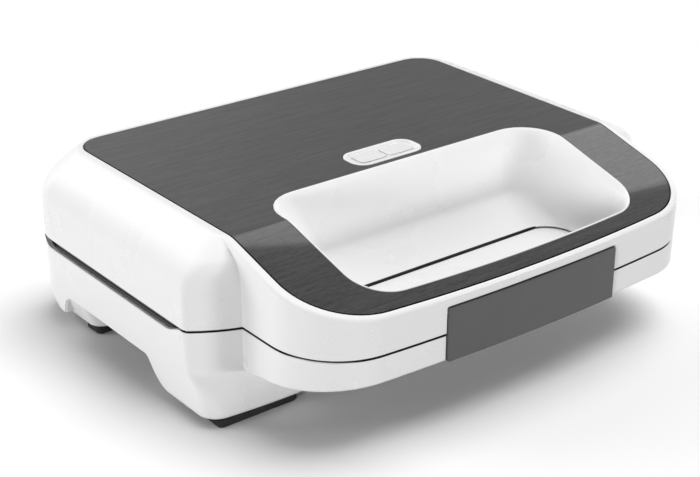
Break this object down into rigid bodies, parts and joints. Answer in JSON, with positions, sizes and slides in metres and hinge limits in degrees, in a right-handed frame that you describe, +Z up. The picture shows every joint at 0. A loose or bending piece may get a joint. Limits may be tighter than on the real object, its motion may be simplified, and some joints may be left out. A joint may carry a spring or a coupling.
{
  "type": "sandwich toaster",
  "caption": "Two-slice sandwich toaster with a hinged white lid, dark brushed trim plate, grip well, lamp window, front latch and non-stick plates with triangle pockets",
  "frame": {"origin": "centre of the footprint on the table plane, under the middle of the toaster", "axes": "X runs across the width, minus Y is the handle side, plus Z is up"},
  "size_m": [0.3, 0.2412, 0.0884],
  "materials": {
    "white_plastic": "glossy white moulded plastic with a faint orange-peel surface",
    "dark_trim": "dark grey plate with fine streaks brushed across the width",
    "nonstick_plate": "cast aluminium with a dark satin non-stick coating",
    "latch_plastic": "satin dark grey moulded plastic",
    "foot_rubber": "matt black rubber with a fine grain",
    "element_steel": "heat-browned steel tube",
    "zinc_sheet": "plain zinc-plated sheet steel",
    "screw_steel": "plated steel",
    "ceramic_block": "unglazed ceramic and heat-proof moulding",
    "lamp_lens": "clear milky moulding under the lamp window",
    "lamp_red": "small neon bulb with a warm tint",
    "lamp_green": "small neon bulb with a green tint"
  },
  "bodies": {
    "base": {"lower_casing": "white_plastic", "lower_plate": "nonstick_plate", "lower_element": "element_steel", "lower_element_straps": "zinc_sheet", "lower_heat_shield": "zinc_sheet", "lower_plate_screws": "screw_steel", "thermostat": "ceramic_block", "thermal_fuse": "ceramic_block", "terminal_block": "ceramic_block", "cord_gland": "foot_rubber", "front_left_foot": "foot_rubber", "front_right_foot": "foot_rubber", "rear_left_foot": "foot_rubber", "rear_right_foot": "foot_rubber", "left_hinge_pin": "screw_steel", "right_hinge_pin": "screw_steel"},
    "lid": {"upper_casing": "white_plastic", "trim_plate": "dark_trim", "upper_plate": "nonstick_plate", "upper_element": "element_steel", "upper_element_straps": "zinc_sheet", "upper_heat_shield": "zinc_sheet", "upper_plate_screws": "screw_steel", "lamp_bezel": "white_plastic", "lamp_lens": "lamp_lens", "lamp_holder": "ceramic_block", "power_lamp": "lamp_red", "ready_lamp": "lamp_green", "latch_pin": "screw_steel"},
    "latch": {"latch_clip": "latch_plastic"}
  },
  "joints": [
    {"name": "lid_hinge", "type": "hinge", "parent": "base", "child": "lid", "pos_m": [0, 0.1165, 0.047], "axis": [-1, 0, 0], "range_deg": [0, 100]},
    {"name": "latch_pivot", "type": "hinge", "parent": "lid", "child": "latch", "pos_m": [0, -0.11668, 0.0585], "axis": [-1, 0, 0], "range_deg": [0, 45]}
  ]
}
